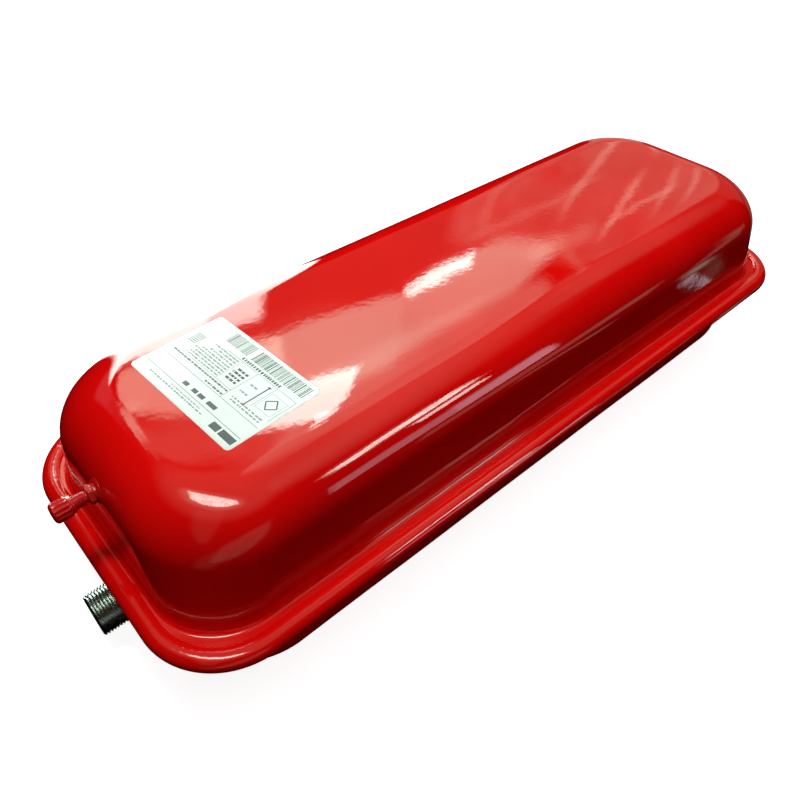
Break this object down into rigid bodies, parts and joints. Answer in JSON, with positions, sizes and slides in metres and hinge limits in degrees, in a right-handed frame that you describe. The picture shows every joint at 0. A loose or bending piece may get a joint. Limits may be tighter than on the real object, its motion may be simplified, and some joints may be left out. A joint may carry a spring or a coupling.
{
  "type": "expansion vessel",
  "caption": "Flat rectangular diaphragm expansion vessel: two drawn red steel shells joined by a rolled rim, capped gas valve and male threaded water nipple on one end.",
  "frame": {"origin": "centre of the water shell's flat bottom face", "axes": "+X along the vessel away from the end that carries the gas valve and the water nipple, +Z from the water shell up to the gas shell, +Y to the left seen from the connection end looking along +X"},
  "size_m": [0.573, 0.21, 0.1401],
  "materials": {
    "red_enamel": "glossy baked enamel",
    "valve_red": "brass valve oversprayed with the same enamel",
    "cap_red": "ribbed plastic cap oversprayed red",
    "zinc": "bright zinc plate with a faint yellow-green passivation",
    "weld": "weld bead under red enamel",
    "diaphragm_rubber": "matt moulded rubber",
    "seal_rubber": "matt rubber",
    "brass": "turned brass",
    "spring_steel": "bright spring wire",
    "core_seal": "soft sealing ring",
    "label": "self-adhesive label, semi-gloss"
  },
  "bodies": {
    "vessel": {"gas_shell": "red_enamel", "water_shell": "red_enamel", "diaphragm_bead": "diaphragm_rubber", "diaphragm_skirt": "diaphragm_rubber", "water_nipple": "zinc", "nipple_weld": "weld", "valve_bush": "red_enamel", "bush_weld": "weld", "valve_gasket": "seal_rubber", "valve_body": "valve_red", "core_plug": "brass", "core_barrel": "brass", "core_barrel_seal": "core_seal", "core_spring": "spring_steel", "rating_label": "label"},
    "diaphragm": {"diaphragm_panel": "diaphragm_rubber"},
    "cap_disc": {"cap_seal": "seal_rubber"},
    "cap": {"valve_cap": "cap_red"},
    "valve_pin": {"core_pin": "brass", "core_washer": "seal_rubber", "core_cup": "brass"}
  },
  "joints": [
    {"name": "diaphragm_rise", "type": "slide", "parent": "vessel", "child": "diaphragm", "axis": [0, 0, 1], "range_m": [0, 0.095], "deforming": ["diaphragm_skirt"]},
    {"name": "cap_travel", "type": "slide", "parent": "vessel", "child": "cap_disc", "axis": [-1, 0, 0], "range_m": [0, 0.00774]},
    {"name": "cap_turn", "type": "hinge", "parent": "cap_disc", "child": "cap", "pos_m": [-0.2815, 0, 0.1135], "axis": [-1, 0, 0], "range_deg": [0, 3510]},
    {"name": "pin_press", "type": "slide", "parent": "vessel", "child": "valve_pin", "axis": [1, 0, 0], "range_m": [0, 0.0012], "stiffness_N_per_m": 900, "springref_m": -0.001, "deforming": ["core_spring"]}
  ],
  "couplings": [
    {"joint": "cap_turn", "follows": "cap_travel", "rad_per_m": 7913.3}
  ]
}
